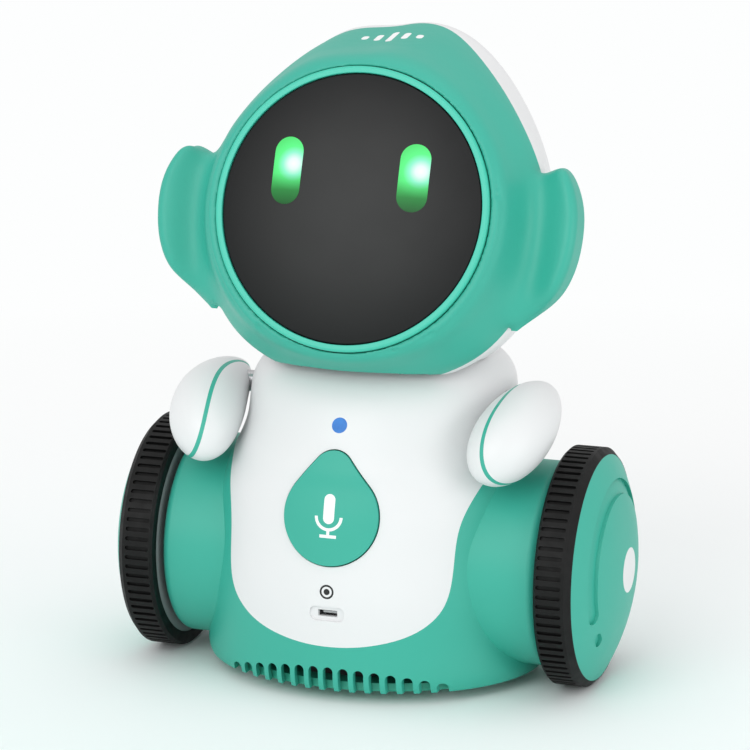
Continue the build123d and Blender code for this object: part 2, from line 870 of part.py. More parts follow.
with BuildPart() as axle_bushes:
    with BuildSketch(x_plane(pod_half_length - wall - bush_flange_thickness)):
        Circle(bush_flange_radius)
    extrude(amount=bush_flange_thickness)
    with BuildSketch(x_plane(pod_half_length - wall)):
        Circle(bush_radius)
    extrude(amount=wall + 0.4)
    with BuildSketch(x_plane(axle_inner_end)):
        Circle(axle_radius + running_gap)
    extrude(amount=pod_half_length, mode=Mode.SUBTRACT)
    mirror(about=Plane.YZ)
save(axle_bushes.part, "axle_bushes")

tip_allowance = 0.8 * gear_module + gearbox_clearance
axle_pocket = gear_module * axle_teeth / 2 + tip_allowance
pinion_pocket = gear_module * pinion_teeth / 2 + tip_allowance


def gearbox_sketch(x, grow):
    """The outline round both gears, grown on every side."""
    with BuildSketch(x_plane(x)) as outline:
        with BuildLine():
            CenterArc((0, 0), axle_pocket + grow, 0, 360)
            CenterArc((0, gear_centres), pinion_pocket + grow, 0, 360)
        make_hull()
    return outline.sketch


with BuildPart() as gearbox:
    extrude(
        gearbox_sketch(gearbox_floor_face, gearbox_wall),
        amount=gear_face + gear_width - gearbox_floor_face + 1,
    )
    with BuildSketch(x_plane(gearbox_floor_face, z=base_top)):
        with Locations((0, (axle_height - base_top) / 2)):
            Rectangle(gearbox_foot_width, axle_height - base_top)
    extrude(amount=gearbox_wall)
    extrude(gearbox_sketch(gearbox_floor_face + gearbox_wall, 0), amount=20, mode=Mode.SUBTRACT)
    with BuildSketch(x_plane(gearbox_floor_face)):
        Circle(axle_radius + running_gap)
        with Locations((0, gear_centres)):
            Circle(motor_nose_radius)
    extrude(amount=20, mode=Mode.SUBTRACT)
save_pair(gearbox.part, "gearbox")

with BuildPart() as drive_motor:
    with BuildSketch(x_plane(gearbox_floor_face, z=motor_height)):
        Circle(motor_radius)
    extrude(amount=-motor_length)
    fillet(drive_motor.edges().filter_by(GeomType.CIRCLE), 0.8)
    with BuildSketch(x_plane(gearbox_floor_face, z=motor_height)):
        Circle(motor_nose_radius)
    extrude(amount=motor_nose_length)
    with BuildSketch(x_plane(gearbox_floor_face - 8 - moving_gap, z=motor_height)):
        Circle(motor_shaft_radius + running_gap)
    extrude(amount=20, mode=Mode.SUBTRACT)
save_pair(drive_motor.part, "drive_motor")


# ---------------------------------------------------------------- arms

def arm_form(inset):
    """The arm's bowed egg, its surface set in by inset."""
    with BuildPart() as form:
        for turn in (-88, -78, -62, -42, -20, 4, 28, 50, 68, 80, 88):
            share = sin(radians(turn))
            section = Plane(
                origin=arm_middle(share * (1 - inset / arm_half_length)),
                x_dir=arm_side(arm_seam_roll),
                z_dir=arm_axis,
            )
            with BuildSketch(section):
                Circle((arm_radius - inset) * cos(radians(turn)) * (1 + arm_taper * share))
        loft()
    return form.part


def arm_inside(shift):
    """All that lies inwards of the stripe's middle, moved out by shift."""
    reach = 2 * arm_radius + arm_bow
    line = []
    for step in range(-6, 7):
        share = step / 5
        out = sum(factor * share**power for power, factor in enumerate(arm_seam_line))
        line.append((arm_half_length * share, out + shift))
    with BuildPart() as inside:
        with BuildSketch(
            Plane(origin=arm_centre, x_dir=arm_axis, z_dir=arm_axis.cross(arm_side(arm_seam_roll)))
        ):
            with BuildLine():
                Spline(*line)
                Polyline(line[-1], (line[-1][0], -reach), (line[0][0], -reach), line[0])
            make_face()
        extrude(amount=reach, both=True)
    return inside.part


stripe_half = arm_stripe_thickness / 2
pin_start = shoulder_half_width - shoulder_pin_inside

with BuildPart() as shoulder_pin:
    with BuildSketch(x_plane(pin_start, shoulder.Y, shoulder.Z)):
        Circle(shoulder_pin_radius)
    extrude(amount=shoulder.X + shoulder_pin_tail - pin_start)
    with BuildSketch(x_plane(pin_start, shoulder.Y, shoulder.Z)):
        Circle(shoulder_washer_radius)
    extrude(amount=shoulder_washer_thickness)
save_pair(shoulder_pin.part, "shoulder_pin")

with BuildPart() as arm_shell:
    add(arm_form(0))
    add(arm_form(arm_wall), mode=Mode.SUBTRACT)

with BuildPart() as arm_outer_shell:
    add(arm_shell.part)
    add(arm_inside(stripe_half), mode=Mode.SUBTRACT)
save_pair(arm_outer_shell.part, "arm_outer_shell")

with BuildPart() as arm_stripe:
    add(arm_form(0))
    add(arm_inside(stripe_half), mode=Mode.INTERSECT)
    add(arm_inside(-stripe_half), mode=Mode.SUBTRACT)
    add(shoulder_pin.part, mode=Mode.SUBTRACT)
save_pair(arm_stripe.part, "arm_stripe")

with BuildPart() as arm_inner_shell:
    add(arm_shell.part)
    add(arm_inside(-stripe_half), mode=Mode.INTERSECT)
    add(shoulder_pin.part, mode=Mode.SUBTRACT)
save_pair(arm_inner_shell.part, "arm_inner_shell")


# ---------------------------------------------------------------- head forms

ring_radius = lens_radius + seat_gap + ring_width
hood_outline = (
    (0, hood_top),
    (0.362 * hood_side, 0.957 * hood_top),
    (0.595 * hood_side, 0.802 * hood_top),
    (0.807 * hood_side, 0.560 * hood_top),
    (0.953 * hood_side, 0.283 * hood_top),
    (hood_side, 0),
    (0.966 * hood_side, -0.300 * hood_bottom),
    (0.864 * hood_side, -0.566 * hood_bottom),
    (0.725 * hood_side, -0.752 * hood_bottom),
    (0.417 * hood_side, -0.936 * hood_bottom),
    (0, -hood_bottom),
)
hood_rings = (
    # depth, share of the way out from the face ring, how far back the inner wall's ring lies in walls
    (0.4, 0.0, -1.8),
    (5.0, 0.43, 1.1),
    (11.0, 0.65, 0.7),
    (seam_depth, 1.0, 0.0),
)
back_rings = (
    # depth behind the seam, share of the hood's width, share of its height above the middle
    (8, 0.983, 1.074),
    (18, 0.95, 1.149),
    (27, 0.871, 1.108),
    (35.5, 0.72, 0.958),
    (42.5, 0.53, 0.734),
    (46.6, 0.33, 0.457),
    (48, 0.16, 0.213),
)


def face_point(x, rise, depth):
    """A point of the head, given across, up the face and back from the face."""
    return face_plane.offset(-depth).from_local_coords(Vector(x, rise, 0))


def head_ring(depth, reach, stretch=1.0):
    """One closed section of the head, parallel to the face; reach gives each point's distance."""
    right = []
    for x, rise in hood_outline:
        rise *= stretch if rise > 0 else 1
        full = hypot(x, rise)
        right.append((x / full * reach(full), rise / full * reach(full)))
    left = [(-x, rise) for x, rise in right[-2:0:-1]]
    with BuildSketch(face_plane.offset(-depth)) as ring:
        with BuildLine():
            Spline(*right, *left, periodic=True)
        make_face()
    return ring.sketch


def head_form(inset):
    """The whole head, from the face ring to the back of its dome."""
    squeeze = 1 - inset / (head_depth - seam_depth)
    with BuildPart() as form:
        for depth, share, back in hood_rings:
            start = ring_radius - inset
            place = depth + inset * back
            add(head_ring(place, lambda full: start + share * (full - inset - start)))
        for depth, share, top_share in back_rings:
            place = seam_depth + depth * squeeze
            add(head_ring(place, lambda full: share * full - inset, top_share / share))
        loft()
    return form.part


head_outer = head_form(0)
head_inner = head_form(head_wall)
head_lining = head_form(head_wall + seat_gap)
seam_plane = face_plane.offset(-seam_depth)
face_axis = Axis((0, face_y, face_z), face_out)

with BuildPart() as neck_recess:
    with BuildSketch(Plane.XZ.offset(-yaw_axis_y)):
        with BuildLine():
            shoulders = [
                (max(half_width, back - yaw_axis_y) + neck_gap, height)
                for height, front, back, half_width in body_rings
                if waist_height < height < body_top - neck_gap
            ]
            top_reach = body_top_half_width + neck_gap
            Polyline(
                (0, waist_height), (shoulders[0][0], waist_height), *shoulders, (top_reach, head_floor)
            )
            Polyline((top_reach, head_floor), (0, head_floor), (0, waist_height))
        make_face()
    revolve(axis=Axis((0, yaw_axis_y, 0), (0, 0, 1)))

side_plane = Plane(origin=(0, face_y, face_z), x_dir=-face_out, z_dir=(1, 0, 0))
sweep_start = (seam_depth, ear_top)
sweep_end = (
    seam_depth + seam_overrun * (seam_top_depth - seam_depth),
    ear_top + seam_overrun_up * (seam_crown * hood_top - ear_top),
)
with BuildPart() as seam_sweep:
    with BuildSketch(side_plane):
        with BuildLine():
            TangentArc(sweep_start, sweep_end, tangent=(0, 1))
            Polyline(sweep_end, (seam_depth, sweep_end[1]), sweep_start)
        make_face()
    extrude(amount=hood_side, both=True)

with BuildPart() as ear:
    with BuildSketch(ear_plane.offset(ear_bottom - 5)):
        with BuildLine():
            Spline(
                (hood_side - 8, ear_dip_depth - 1.0),
                (hood_side - 2.0, ear_dip_depth),
                (hood_side + 3.4, ear_dip_depth - 3.0),
                (hood_side + 7.4, ear_lip_depth),
                (ear_reach + 2, ear_lip_depth - 0.2),
            )
            Polyline(
                (ear_reach + 2, ear_lip_depth - 0.2),
                (ear_reach + 2, seam_depth),
                (hood_side - 8, seam_depth),
                (hood_side - 8, ear_dip_depth - 1.0),
            )
        make_face()
    extrude(amount=60)
    with BuildSketch(face_plane.offset(-seam_depth)):
        with BuildLine():
            Spline(
                (hood_side - 7.5, ear_top - 3),
                (hood_side - 0.6, ear_top - 1.4),
                (hood_side + 4.0, ear_top),
                (hood_side + 8.6, ear_top - 5.0),
                (ear_reach, -1.7),
                (ear_reach - 1.5, -12),
                (ear_reach - 5.0, -19.4),
                (hood_side - 0.8, -26),
                (hood_side - 5.6, ear_bottom + 1),
            )
            Polyline(
                (hood_side - 5.6, ear_bottom + 1),
                (hood_side - 7.5, ear_bottom + 1),
                (hood_side - 7.5, ear_top - 3),
            )
        make_face()
    extrude(amount=40, both=True, mode=Mode.INTERSECT)
    fillet(ear.edges().filter_by(GeomType.BSPLINE).sort_by(SortBy.LENGTH)[-1], ear_rounding)

with BuildPart() as head_shell:
    add(head_outer)
    add(head_inner, mode=Mode.SUBTRACT)
    add(neck_recess.part, mode=Mode.SUBTRACT)

with BuildPart() as dome_shell:
    add(head_shell.part)
    split(bisect_by=seam_plane, keep=Keep.BOTTOM)

with BuildPart() as head_rear_shell:
    add(dome_shell.part)
    add(seam_sweep.part, mode=Mode.SUBTRACT)
save(head_rear_shell.part, "head_rear_shell")


# ---------------------------------------------------------------- face

def face_disc(radius, front, back, inner=0.0):
    """A disc or ring square to the face axis, between two depths."""
    with BuildPart() as disc:
        with BuildSketch(face_plane.offset(-front)):
            Circle(radius)
            if inner > 0:
                Circle(inner, mode=Mode.SUBTRACT)
        extrude(amount=front - back)
    return disc.part


lens_back = lens_thickness + 0.2
lens_dome_radius = (lens_radius**2 + lens_sagitta**2) / (2 * lens_sagitta)


def lens_form(proud):
    """The domed disc of the face, from its flat back to its front, made proud by a little."""
    with BuildPart() as form:
        with BuildSketch(ear_plane):
            with BuildLine():
                Line((0, lens_back), (lens_radius, lens_back))
                Line((lens_radius, lens_back), (lens_radius, 0.2 - proud))
                ThreePointArc(
                    (lens_radius, 0.2 - proud),
                    (lens_radius / 2, 0.2 - proud - dome_rise(lens_radius / 2)),
                    (0, 0.2 - proud - lens_sagitta),
                )
                Line((0, 0.2 - proud - lens_sagitta), (0, lens_back))
            make_face()
        revolve(axis=face_axis)
    return form.part


def dome_rise(radius):
    """How far the lens stands in front of its rim at this radius."""
    return sqrt(lens_dome_radius**2 - radius**2) - (lens_dome_radius - lens_sagitta)


with BuildPart() as eye_blocks:
    with BuildSketch(face_plane.offset(20)):
        with Locations((-eye_spacing / 2, eye_rise), (eye_spacing / 2, eye_rise)):
            SlotOverall(eye_height, eye_width, rotation=90)
    extrude(amount=-20 - eye_board_depth)

with BuildPart() as face_lens:
    add(lens_form(0))
    add(eye_blocks.part, mode=Mode.SUBTRACT)
save(face_lens.part, "face_lens")

with BuildPart() as eye_lights:
    add(eye_blocks.part)
    with BuildPart(mode=Mode.PRIVATE) as eye_limit:
        add(lens_form(0.05))
        add(face_disc(eye_board_radius, lens_back - 1, eye_board_depth))
    add(eye_limit.part, mode=Mode.INTERSECT)
for name, eye in zip(("left", "right"), eye_lights.solids().sort_by(Axis.X)):
    save(Part(eye.wrapped), f"eye_{name}")

save(face_disc(ring_radius, -0.4, ring_depth, lens_radius + seat_gap), "face_trim_ring")

with BuildPart() as lens_carrier:
    add(face_disc(hood_side, ring_depth, ring_depth + carrier_wall, eye_board_radius + seat_gap))
    add(head_lining, mode=Mode.INTERSECT)
    add(
        face_disc(
            eye_board_radius + seat_gap + carrier_wall,
            lens_back,
            eye_board_depth + board_thickness,
            eye_board_radius + seat_gap,
        )
    )
save(lens_carrier.part, "lens_carrier")

save(face_disc(eye_board_radius, eye_board_depth, eye_board_depth + board_thickness), "eye_board")

bar_plane = Plane(
    origin=tuple(face_point(0, light_bar_rise, light_bar_depth)),
    x_dir=(1, 0, 0),
    z_dir=(0, -cos(radians(light_bar_tilt)), sin(radians(light_bar_tilt))),
)
with BuildPart() as bar_blocks:
    with BuildSketch(bar_plane.offset(12)):
        for place, length in enumerate(light_bar_lengths):
            across = light_bar_pitch * (place - (len(light_bar_lengths) - 1) / 2)
            with Locations((across, 0)):
                SlotOverall(length, light_bar_width, rotation=90)
    extrude(amount=-24)
with BuildPart() as hood_shell:
    add(head_outer)
    split(bisect_by=seam_plane, keep=Keep.TOP)
    add(ear.part)
    mirror(ear.part, about=Plane.YZ)
    add(head_inner, mode=Mode.SUBTRACT)
    add(face_disc(ring_radius + seat_gap, -5, ring_depth), mode=Mode.SUBTRACT)
    add(neck_recess.part, mode=Mode.SUBTRACT)

with BuildPart() as hood_crown:
    add(dome_shell.part)
    add(seam_sweep.part, mode=Mode.INTERSECT)

with BuildPart() as forehead_lights:
    add(bar_blocks.part)
    with BuildPart(mode=Mode.PRIVATE) as front_skin:
        add(hood_shell.part)
        add(hood_crown.part)
    add(front_skin.part, mode=Mode.INTERSECT)
save(forehead_lights.part, "forehead_lights")

with BuildPart() as head_front_shell:
    add(front_skin.part)
    add(bar_blocks.part, mode=Mode.SUBTRACT)
save(head_front_shell.part, "head_front_shell")


# ---------------------------------------------------------------- neck

def neck_disc(radius, bottom, height, inner=0.0):
    """A disc or ring on the yaw axis."""
    with BuildPart() as disc:
        with BuildSketch(Plane.XY.offset(bottom)):
            with Locations((0, yaw_axis_y)):
                Circle(radius)
                if inner > 0:
                    Circle(inner, mode=Mode.SUBTRACT)
        extrude(amount=height)
    return disc.part


with BuildPart() as head_floor_plate:
    add(head_lining)
    with BuildSketch(Plane.XY.offset(head_floor)):
        with Locations((0, yaw_axis_y)):
            Circle(2 * hood_side)
    extrude(amount=floor_thickness, mode=Mode.INTERSECT)
    add(neck_disc(collar_radius + moving_gap, head_floor - 1, floor_thickness + 2), mode=Mode.SUBTRACT)
save(head_floor_plate.part, "head_floor_plate")

retainer_bottom = head_floor + floor_thickness + moving_gap
collar_top = body_top + collar_height + floor_thickness
with BuildPart() as neck_collar:
    add(neck_disc(collar_radius + retainer_width, body_top, head_floor - moving_gap - body_top))
    add(neck_disc(collar_radius, body_top, retainer_bottom + retainer_thickness - body_top))
    add(neck_disc(collar_radius - collar_wall, body_top - 1, 20), mode=Mode.SUBTRACT)
save(neck_collar.part, "neck_collar")

save(
    neck_disc(collar_radius + retainer_width, retainer_bottom, retainer_thickness, collar_radius),
    "neck_retainer",
)

bridge_bottom = retainer_bottom + retainer_thickness + moving_gap
bridge_half = collar_radius + retainer_width + moving_gap
with BuildPart() as neck_bridge:
    add(neck_disc(bridge_half + 2.4, bridge_bottom, horn_thickness))
    add(
        neck_disc(
            bridge_half + 2.4,
            head_floor + floor_thickness,
            bridge_bottom - head_floor - floor_thickness,
            bridge_half,
        )
    )
    with BuildSketch(Plane.XY.offset(head_floor)):
        with Locations((0, yaw_axis_y)):
            Rectangle(2 * horn_radius, 4 * bridge_half)
    extrude(amount=20, mode=Mode.INTERSECT)
save(neck_bridge.part, "neck_bridge")

servo_top = body_top - wall - seat_gap
with BuildPart() as head_servo:
    with BuildSketch(Plane.XY.offset(servo_top)):
        with Locations((0, yaw_axis_y + servo_length / 4)):
            Rectangle(servo_width, servo_length)
    extrude(amount=-servo_height)
    with BuildSketch(Plane.XY.offset(servo_top - 3)):
        with Locations((0, yaw_axis_y + servo_length / 4)):
            Rectangle(servo_width, servo_length + 9)
    extrude(amount=-1.6)
    add(neck_disc(servo_shaft_radius + running_gap, servo_top - 6, 20), mode=Mode.SUBTRACT)
save(head_servo.part, "head_servo")

with BuildPart() as servo_shaft:
    add(
        neck_disc(servo_shaft_radius, servo_top - 6 + moving_gap, bridge_bottom - servo_top + 6 - moving_gap)
    )
save(servo_shaft.part, "servo_shaft")
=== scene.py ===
"""Desk robot on two wheels, dressed for the studio: teal and white shells, a smoked face and rubber tyres.

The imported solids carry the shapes. This script gives them their materials, rounds the hood, the ring and the
lens of the face into the forms of their mouldings, adds the marks that are printed on the chest, and sets up
the floor, the lights and the camera. Metres throughout, in the frame of the solids.
"""

import math

import bmesh
import bpy
import numpy as np
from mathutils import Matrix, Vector
from mathutils.bvhtree import BVHTree
from mathutils.kdtree import KDTree


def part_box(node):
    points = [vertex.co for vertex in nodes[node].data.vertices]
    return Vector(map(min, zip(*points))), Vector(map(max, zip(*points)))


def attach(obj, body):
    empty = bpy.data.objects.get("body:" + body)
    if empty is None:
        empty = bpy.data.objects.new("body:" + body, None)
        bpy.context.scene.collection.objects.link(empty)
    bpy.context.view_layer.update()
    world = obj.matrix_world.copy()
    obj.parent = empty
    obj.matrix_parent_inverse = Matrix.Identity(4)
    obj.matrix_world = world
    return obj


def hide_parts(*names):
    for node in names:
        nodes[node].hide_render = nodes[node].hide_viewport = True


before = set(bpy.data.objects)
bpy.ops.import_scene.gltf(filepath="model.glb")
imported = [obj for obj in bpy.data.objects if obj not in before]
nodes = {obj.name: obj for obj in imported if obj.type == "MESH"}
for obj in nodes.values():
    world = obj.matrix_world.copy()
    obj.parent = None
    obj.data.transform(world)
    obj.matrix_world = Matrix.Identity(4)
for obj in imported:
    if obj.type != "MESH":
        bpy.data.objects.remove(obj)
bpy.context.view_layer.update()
MM = 0.001


# ---------------------------------------------------------------- node building

def srgb(red, green, blue):
    """A colour written as 0 to 255 sRGB values, in the linear values that shaders take."""
    def linear(value):
        value /= 255
        return value / 12.92 if value <= 0.04045 else ((value + 0.055) / 1.055) ** 2.4
    return (linear(red), linear(green), linear(blue), 1.0)


class Material:
    """A node-based material with short calls for the nodes that it needs."""

    def __init__(self, name):
        self.material = bpy.data.materials.new(name)
        self.material.use_nodes = True
        self.tree = self.material.node_tree
        self.tree.nodes.clear()
        self.output = self.add("ShaderNodeOutputMaterial")
        self.shader = self.add("ShaderNodeBsdfPrincipled")
        self.link(self.shader.outputs["BSDF"], self.output.inputs["Surface"])
        self.place = self.add("ShaderNodeTexCoord").outputs["Object"]

    def add(self, kind, **settings):
        node = self.tree.nodes.new(kind)
        for key, value in settings.items():
            setattr(node, key, value)
        return node

    def link(self, source, target):
        self.tree.links.new(source, target)

    def set(self, **values):
        for key, value in values.items():
            self.shader.inputs[key.replace("_", " ")].default_value = value

    def noise(self, scale, detail=2.0, stretch=None):
        """Noise in space, scale in features per metre; stretch squeezes it along an axis."""
        node = self.add("ShaderNodeTexNoise")
        node.inputs["Scale"].default_value = scale
        node.inputs["Detail"].default_value = detail
        node.inputs["Roughness"].default_value = 0.5
        if stretch is None:
            self.link(self.place, node.inputs["Vector"])
        else:
            mapping = self.add("ShaderNodeMapping")
            mapping.inputs["Scale"].default_value = stretch
            self.link(self.place, mapping.inputs["Vector"])
            self.link(mapping.outputs["Vector"], node.inputs["Vector"])
        return node.outputs["Fac"]

    def ramp(self, factor, *stops):
        """A colour ramp through (place, colour) stops."""
        node = self.add("ShaderNodeValToRGB")
        elements = node.color_ramp.elements
        while len(elements) < len(stops):
            elements.new(0.5)
        for element, (place, colour) in zip(elements, stops):
            element.position = place
            element.color = colour
        self.link(factor, node.inputs["Fac"])
        return node.outputs["Color"]

    def range(self, factor, low, high, from_low=0.3, from_high=0.7, clamp=True):
        """The factor from from_low to from_high, stretched to run from low to high."""
        node = self.add("ShaderNodeMapRange", clamp=clamp)
        node.inputs["From Min"].default_value = from_low
        node.inputs["From Max"].default_value = from_high
        node.inputs["To Min"].default_value = low
        node.inputs["To Max"].default_value = high
        self.link(factor, node.inputs["Value"])
        return node.outputs["Result"]

    def maths(self, operation, first, second=None):
        """A sum of one or two values, each a number or a socket."""
        node = self.add("ShaderNodeMath", operation=operation)
        for socket, value in zip(node.inputs, (first, second)):
            if value is None:
                continue
            if isinstance(value, (int, float)):
                socket.default_value = value
            else:
                self.link(value, socket)
        return node.outputs["Value"]

    def bump(self, height, distance, strength):
        """A normal that makes the height stand out by up to the distance."""
        node = self.add("ShaderNodeBump")
        node.inputs["Distance"].default_value = distance
        node.inputs["Strength"].default_value = strength
        self.link(height, node.inputs["Height"])
        return node.outputs["Normal"]

    def sharp_edge_mask(self, radius):
        """High where the surface turns sharply, as a moulded edge does."""
        bevel = self.add("ShaderNodeBevel", samples=4)
        bevel.inputs["Radius"].default_value = radius
        geometry = self.add("ShaderNodeNewGeometry")
        dot = self.add("ShaderNodeVectorMath", operation="DOT_PRODUCT")
        self.link(bevel.outputs["Normal"], dot.inputs[0])
        self.link(geometry.outputs["Normal"], dot.inputs[1])
        return self.maths("SUBTRACT", 1.0, dot.outputs["Value"])


def moulded(name, colour, roughness=0.36, grain=0.000012, grain_scale=2600, shade=0.03):
    """Injection-moulded plastic: a fine spark-eroded grain, faint flow shading and uneven gloss."""
    m = Material(name)
    dark = tuple(c * (1 - shade) for c in colour[:3]) + (1.0,)
    light = tuple(min(1.0, c * (1 + shade)) for c in colour[:3]) + (1.0,)
    flow = m.noise(14, detail=3)
    m.link(m.ramp(flow, (0.3, dark), (0.7, light)), m.shader.inputs["Base Color"])
    m.link(m.range(m.noise(60, detail=4), roughness - 0.03, roughness + 0.04), m.shader.inputs["Roughness"])
    m.link(m.bump(m.noise(grain_scale, detail=2), grain, 0.35), m.shader.inputs["Normal"])
    return m.material


teal = moulded("teal_shell_satin", srgb(54, 172, 152), roughness=0.46)
# The face ring's teal is the shell's teal made lighter and glossier: a painted highlight on the ring.
teal_painted_highlight = moulded("teal_trim_painted_highlight", srgb(66, 194, 170), roughness=0.36)
teal_dark = moulded("teal_base_grain", srgb(50, 164, 140), roughness=0.5, grain=0.00003, grain_scale=1500)
white = moulded("white_shell_satin", srgb(230, 230, 231), roughness=0.42, shade=0.01)
white_print = moulded("white_ink", srgb(244, 244, 244), roughness=0.5, grain=0.000004, shade=0.01)
black = moulded("black_plastic", srgb(26, 26, 28), roughness=0.45, shade=0.1)
grey = moulded("grey_plastic", srgb(150, 152, 154), roughness=0.45)
nylon = moulded("nylon_natural", srgb(225, 222, 208), roughness=0.5)
board = moulded("board_green", srgb(22, 92, 60), roughness=0.4, shade=0.15)
sleeve = moulded("battery_sleeve", srgb(40, 92, 160), roughness=0.35, shade=0.08)
black_print = moulded("black_ink", srgb(24, 24, 26), roughness=0.55, grain=0.000004, shade=0.05)


def metal(name, colour, roughness):
    """Plated or turned metal with fine lines along the part."""
    m = Material(name)
    m.set(Metallic=1.0)
    dark = tuple(c * 0.86 for c in colour[:3]) + (1.0,)
    m.link(m.ramp(m.noise(90, detail=3), (0.3, dark), (0.7, colour)), m.shader.inputs["Base Color"])
    lines = m.noise(900, detail=2, stretch=(1, 1, 14))
    m.link(m.range(lines, roughness - 0.06, roughness + 0.08), m.shader.inputs["Roughness"])
    m.link(m.bump(lines, 0.000006, 0.4), m.shader.inputs["Normal"])
    return m.material


steel = metal("steel_plated", srgb(198, 198, 200), 0.3)
brass = metal("brass_turned", srgb(214, 184, 110), 0.28)


def rubber():
    """Tyre rubber: dark, dull, with a fine pitted skin, random pale dust and a painted highlight that makes
    its sharp edges paler.
    """
    m = Material("tyre_rubber")
    # Painted highlight: the sharp edges of the tyre, those of its tread slots too, are made paler; the noise
    # adds random dust.
    painted_edge_highlight = m.sharp_edge_mask(0.0005)
    dust_and_painted_edge_highlight = m.maths("ADD", m.maths("MULTIPLY", painted_edge_highlight, 1.4), m.range(m.noise(120, detail=5), 0.0, 0.35))
    m.link(m.ramp(dust_and_painted_edge_highlight, (0.0, srgb(8, 8, 8)), (1.0, srgb(27, 26, 26))), m.shader.inputs["Base Color"])
    m.link(m.range(m.noise(300, detail=3), 0.5, 0.66), m.shader.inputs["Roughness"])
    m.link(m.bump(m.noise(3200, detail=3), 0.00004, 0.5), m.shader.inputs["Normal"])
    m.set(Specular_IOR_Level=0.25)
    return m.material


def blue_light():
    """The status light: a blue light guide, faintly lit."""
    m = Material("light_pipe_blue")
    blue = m.ramp(m.noise(500, detail=2), (0.3, srgb(16, 102, 184)), (0.7, srgb(24, 116, 198)))
    m.link(blue, m.shader.inputs["Base Color"])
    m.link(m.range(m.noise(300), 0.3, 0.4), m.shader.inputs["Roughness"])
    m.set(Emission_Color=srgb(20, 124, 206), Emission_Strength=0.12)
    return m.material


tyre_rubber = rubber()
light_material = blue_light()


def dress(material, *names):
    """Gives CAD nodes a material; a name that ends with _ stands for the left and the right one."""
    for name in names:
        for full in ((name + "left", name + "right") if name.endswith("_") else (name,)):
            slots = nodes[full].data.materials
            slots.clear()
            slots.append(material)


dress(teal, "lower_shell", "head_front_shell", "chest_button", "hub_cover_", "arm_stripe_")
dress(teal_painted_highlight, "face_trim_ring")
dress(teal_dark, "base_plate", "battery_door")
dress(white, "chest_panel", "back_shell", "head_rear_shell", "hub_disc_")
dress(white, "arm_outer_shell_", "arm_inner_shell_")
dress(white_print, "button_icon", "forehead_lights")
dress(light_material, "status_light")
dress(tyre_rubber, "tyre_")
dress(grey, "wheel_rim_", "neck_collar", "head_floor_plate")
dress(black, "lens_carrier", "button_switch", "power_switch_knob", "power_switch_case")
dress(black, "speaker", "head_servo", "neck_retainer")
dress(steel, "base_screws", "caster_pins", "usb_socket", "servo_shaft", "drive_motor_", "shoulder_pin_")
dress(brass, "motor_pinion_")
dress(nylon, "axle_gear_", "axle_bushes", "gearbox_", "neck_bridge")
dress(nylon, "caster_roller_front", "caster_roller_rear")
dress(board, "main_board", "charge_board", "eye_board")
dress(sleeve, "battery_pack")


# ---------------------------------------------------------------- shaped pieces

def piece(name, mesh, material, body):
    """Makes an object of a mesh, and has it ride on a CAD body."""
    obj = bpy.data.objects.new(name, mesh)
    bpy.context.scene.collection.objects.link(obj)
    mesh.materials.clear()
    mesh.materials.append(material)
    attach(obj, body)
    return obj


def evaluated(obj):
    """The object's mesh with its modifiers applied, as a mesh of its own."""
    graph = bpy.context.evaluated_depsgraph_get()
    mesh = bpy.data.meshes.new_from_object(obj.evaluated_get(graph), depsgraph=graph)
    obj.modifiers.clear()
    return mesh


def remeshed(name, voxel, *added):
    """An even mesh of a CAD node and of the closed meshes added to it, fine enough to be reshaped."""
    bm = bmesh.new()
    bm.from_mesh(nodes[name].data)
    for mesh in added:
        bm.from_mesh(mesh)
    joined = bpy.data.meshes.new(name)
    bm.to_mesh(joined)
    bm.free()
    source = bpy.data.objects.new("source", joined)
    bpy.context.scene.collection.objects.link(source)
    remesh = source.modifiers.new("even", "REMESH")
    remesh.mode = "VOXEL"
    remesh.voxel_size = voxel
    mesh = evaluated(source)
    bpy.data.objects.remove(source)
    return mesh


def surface_of(name):
    """A CAD node's surface, for rays."""
    mesh = nodes[name].data
    return BVHTree.FromPolygons([v.co for v in mesh.vertices], [p.vertices for p in mesh.polygons])


def grid(name, rows, closed=True):
    """A mesh through rows of points, each joined round; closed joins the last row to the first."""
    bm = bmesh.new()
    made = [[bm.verts.new(point) for point in row] for row in rows]
    pairs = list(zip(made, made[1:] + made[:1])) if closed else list(zip(made, made[1:]))
    for low_row, high_row in pairs:
        for i in range(len(low_row)):
            j = (i + 1) % len(low_row)
            bm.faces.new((low_row[i], low_row[j], high_row[j], high_row[i]))
    bmesh.ops.remove_doubles(bm, verts=bm.verts, dist=1e-8)
    bmesh.ops.recalc_face_normals(bm, faces=bm.faces)
    mesh = bpy.data.meshes.new(name)
    bm.to_mesh(mesh)
    bm.free()
    return mesh


def smooth(mesh, angle=40):
    """Shades a mesh smooth, but for edges that turn by more than the angle."""
    mesh.polygons.foreach_set("use_smooth", [True] * len(mesh.polygons))
    mesh.set_sharp_from_angle(angle=math.radians(angle))
    return mesh


def edge_tree(name, wanted, spacing):
    """Points along a CAD node's edges, to search near, where wanted(turn, middle) holds.

    The turn is the angle between the edge's faces, below 0 in a valley.
    """
    bm = bmesh.new()
    bm.from_mesh(nodes[name].data)
    bmesh.ops.remove_doubles(bm, verts=bm.verts, dist=1e-6)
    points = []
    for edge in bm.edges:
        start, end = (v.co for v in edge.verts)
        if len(edge.link_faces) != 2 or not wanted(edge.calc_face_angle_signed(0.0), (start + end) / 2):
            continue
        steps = max(1, int((end - start).length / spacing))
        points += [start.lerp(end, i / steps) for i in range(steps + 1)]
    bm.free()
    tree = KDTree(len(points))
    for index, point in enumerate(points):
        tree.insert(point, index)
    tree.balance()
    return tree


